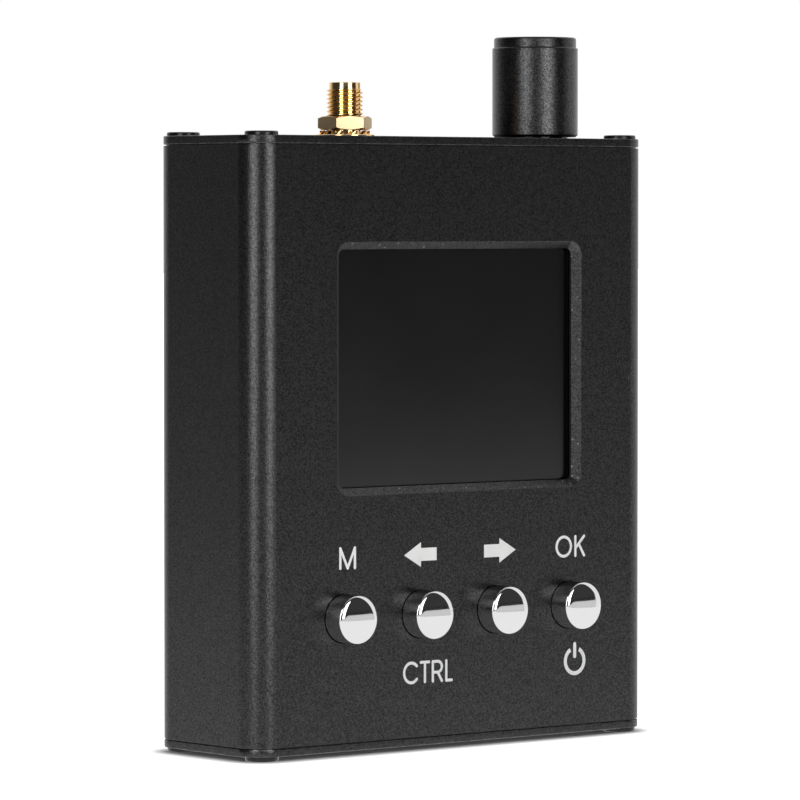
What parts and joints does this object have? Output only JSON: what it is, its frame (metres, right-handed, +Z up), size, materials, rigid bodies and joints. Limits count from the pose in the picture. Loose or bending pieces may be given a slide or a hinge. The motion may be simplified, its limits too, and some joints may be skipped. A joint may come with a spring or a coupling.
{
  "type": "vector network analyzer",
  "caption": "Handheld radio-frequency network analyzer: slim black extruded case with a bevelled screen window, chrome push keys, a coaxial test socket and a push-turn knob on its top plate.",
  "frame": {"origin": "on the surface that the instrument stands on, below the middle of its bounding box", "axes": "+Z up along the case, from the bottom plate to the knob; -Y out of the front panel; +X to the right seen from the front"},
  "size_m": [0.088, 0.0324, 0.1217],
  "materials": {
    "black_anodised": "bead blasted and black anodised",
    "black_screw": "black oxide steel, semi-gloss",
    "chrome": "polished",
    "gold": "gold plated",
    "steel": "turned",
    "nickel": "nickel plated",
    "smoked_pane": "smoked acrylic, polished",
    "display_glass": "unlit display",
    "black_foam": "closed-cell foam",
    "black_plastic": "moulded",
    "white_plastic": "moulded",
    "white_foam": "foam tape",
    "green_board": "solder mask",
    "silver_pouch": "foil pouch",
    "red_lead": "insulated wire",
    "black_lead": "insulated wire"
  },
  "bodies": {
    "case": {"case_sleeve": "black_anodised", "top_plate": "black_anodised", "bottom_plate": "black_anodised", "top_screw_front_left": "black_screw", "top_screw_front_right": "black_screw", "top_screw_back_left": "black_screw", "top_screw_back_right": "black_screw", "bottom_screw_front_left": "black_screw", "bottom_screw_front_right": "black_screw", "bottom_screw_back_left": "black_screw", "bottom_screw_back_right": "black_screw", "encoder_washer": "black_screw", "encoder_nut": "black_screw", "coax_socket_body": "gold", "coax_socket_contact": "gold", "coax_socket_lock_washer": "gold", "coax_socket_nut": "gold", "encoder_bushing": "nickel", "radio_screening_can": "nickel", "charging_socket_shell": "nickel", "display_pane": "smoked_pane", "display_panel": "display_glass", "display_gasket": "black_foam", "menu_key_switch": "black_plastic", "left_key_switch": "black_plastic", "right_key_switch": "black_plastic", "enter_key_switch": "black_plastic", "display_header": "black_plastic", "encoder_housing": "black_plastic", "encoder_header": "black_plastic", "processor": "black_plastic", "charging_socket_tongue": "black_plastic", "display_spacer_upper_left": "white_plastic", "display_spacer_upper_right": "white_plastic", "display_spacer_lower_left": "white_plastic", "display_spacer_lower_right": "white_plastic", "coax_socket_insulator": "white_plastic", "battery_plug": "white_plastic", "battery_socket": "white_plastic", "battery_pad": "white_foam", "display_board": "green_board", "main_board": "green_board", "encoder_board": "green_board", "battery_cell": "silver_pouch", "battery_lead_red": "red_lead", "battery_lead_black": "black_lead"},
    "menu_key": {"menu_key_cap": "chrome", "menu_key_plunger": "black_plastic"},
    "left_key": {"left_key_cap": "chrome", "left_key_plunger": "black_plastic"},
    "right_key": {"right_key_cap": "chrome", "right_key_plunger": "black_plastic"},
    "enter_key": {"enter_key_cap": "chrome", "enter_key_plunger": "black_plastic"},
    "encoder_rotor": {"encoder_rotor": "white_plastic"},
    "knob": {"knob": "black_anodised", "encoder_shaft": "steel", "knob_grub_screw": "steel"}
  },
  "joints": [
    {"name": "menu_key_press", "type": "slide", "parent": "case", "child": "menu_key", "axis": [0, 1, 0], "range_m": [0, 0.0003], "stiffness_N_per_m": 2000, "springref_m": -0.0006},
    {"name": "left_key_press", "type": "slide", "parent": "case", "child": "left_key", "axis": [0, 1, 0], "range_m": [0, 0.0003], "stiffness_N_per_m": 2000, "springref_m": -0.0006},
    {"name": "right_key_press", "type": "slide", "parent": "case", "child": "right_key", "axis": [0, 1, 0], "range_m": [0, 0.0003], "stiffness_N_per_m": 2000, "springref_m": -0.0006},
    {"name": "enter_key_press", "type": "slide", "parent": "case", "child": "enter_key", "axis": [0, 1, 0], "range_m": [0, 0.0003], "stiffness_N_per_m": 2000, "springref_m": -0.0006},
    {"name": "knob_turn", "type": "hinge", "parent": "case", "child": "encoder_rotor", "pos_m": [0.0296, 0.00222, 0.1038], "axis": [0, 0, 1], "continuous": true},
    {"name": "knob_push", "type": "slide", "parent": "encoder_rotor", "child": "knob", "axis": [0, 0, -1], "range_m": [0, 0.0003], "stiffness_N_per_m": 3000, "springref_m": -0.0008}
  ]
}
